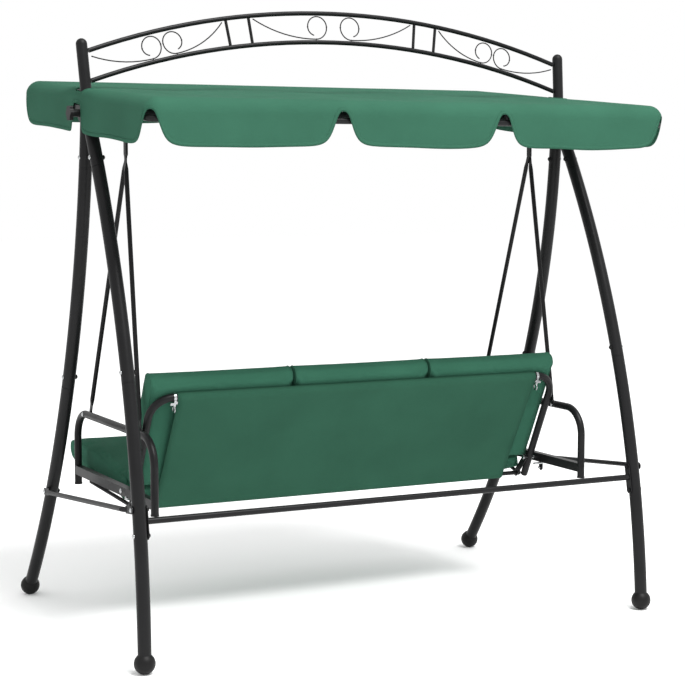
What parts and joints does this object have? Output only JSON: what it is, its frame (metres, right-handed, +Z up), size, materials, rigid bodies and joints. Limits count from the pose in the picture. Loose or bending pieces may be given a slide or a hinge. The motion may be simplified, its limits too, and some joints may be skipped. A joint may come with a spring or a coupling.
{
  "type": "canopy swing bench",
  "caption": "Garden swing bench hung in a curved tubular stand, with a tilting cloth canopy, an arched scrollwork crest and a padded seat whose backrest folds down flat.",
  "frame": {"origin": "on the floor, in the middle of the overall footprint box, left to right and front to back", "axes": "+Z up; +X along the bench's length, towards its left-hand end as the sitter has it; the bench faces -Y"},
  "size_m": [1.892, 1.2673, 2.0224],
  "materials": {
    "powder_coat": "satin anthracite powder coat",
    "black_plastic": "moulded black plastic, fine grain",
    "white_plastic": "natural nylon",
    "zinc": "bright zinc plating",
    "canopy_cloth": "woven polyester canopy cloth, matt green",
    "sling_cloth": "woven polyester sling cloth, matt green",
    "cushion_cloth": "woven polyester cushion cover, matt green"
  },
  "bodies": {
    "stand": {"ball_feet": "black_plastic", "lower_leg_front_left": "powder_coat", "lower_leg_front_right": "powder_coat", "lower_leg_rear_left": "powder_coat", "lower_leg_rear_right": "powder_coat", "upper_leg_front_left": "powder_coat", "upper_leg_front_right": "powder_coat", "upper_leg_rear_left": "powder_coat", "upper_leg_rear_right": "powder_coat", "top_connector_left": "powder_coat", "top_connector_right": "powder_coat", "top_beam": "powder_coat", "crest_post_left": "powder_coat", "crest_post_right": "powder_coat", "crest_post_caps": "black_plastic", "crest_upper_rail": "powder_coat", "crest_lower_rail": "powder_coat", "crest_bars": "powder_coat", "crest_scrolls": "powder_coat", "side_stretcher_left": "powder_coat", "side_stretcher_right": "powder_coat", "rear_stretcher": "powder_coat", "leg_bolts": "zinc", "leg_nuts": "black_plastic", "hanger_bolts": "zinc"},
    "canopy": {"canopy_cover": "canopy_cloth", "canopy_side_frame_left": "powder_coat", "canopy_side_frame_right": "powder_coat", "canopy_front_rail": "powder_coat", "canopy_rear_rail": "powder_coat", "canopy_ribs": "powder_coat", "canopy_corners": "black_plastic"},
    "knob_left": {"tilt_knob_left": "black_plastic"},
    "knob_right": {"tilt_knob_right": "black_plastic"},
    "bench": {"hanger_front_left": "powder_coat", "hanger_front_right": "powder_coat", "hanger_rear_left": "powder_coat", "hanger_rear_right": "powder_coat", "hanger_bushes": "white_plastic", "arm_loop_left": "powder_coat", "arm_loop_right": "powder_coat", "arm_caps": "black_plastic", "side_rail_left": "powder_coat", "side_rail_right": "powder_coat", "hinge_plates": "powder_coat", "front_rail": "powder_coat", "bottom_rail": "powder_coat", "seat_bolts": "zinc", "seat_sling": "sling_cloth", "seat_cushion_left": "cushion_cloth", "seat_cushion_middle": "cushion_cloth", "seat_cushion_right": "cushion_cloth"},
    "backrest": {"backrest_tube": "powder_coat", "backrest_plugs": "black_plastic", "corner_clips": "zinc", "back_sling": "sling_cloth", "back_cushion_left": "cushion_cloth", "back_cushion_middle": "cushion_cloth", "back_cushion_right": "cushion_cloth"}
  },
  "joints": [
    {"name": "canopy_tilt", "type": "hinge", "parent": "stand", "child": "canopy", "pos_m": [0, 0.03236, 1.67], "axis": [1, 0, 0], "range_deg": [-12, 12]},
    {"name": "knob_left_turn", "type": "hinge", "parent": "stand", "child": "knob_left", "pos_m": [0.94, 0.03236, 1.67], "axis": [1, 0, 0], "range_deg": [-360, 360]},
    {"name": "knob_right_turn", "type": "hinge", "parent": "stand", "child": "knob_right", "pos_m": [-0.94, 0.03236, 1.67], "axis": [-1, 0, 0], "range_deg": [-360, 360]},
    {"name": "bench_swing", "type": "hinge", "parent": "stand", "child": "bench", "pos_m": [0, 0.03236, 1.62], "axis": [1, 0, 0], "range_deg": [-12, 12]},
    {"name": "backrest_fold", "type": "hinge", "parent": "bench", "child": "backrest", "pos_m": [0, 0.06636, 0.467], "axis": [-1, 0, 0], "range_deg": [0, 61]}
  ]
}
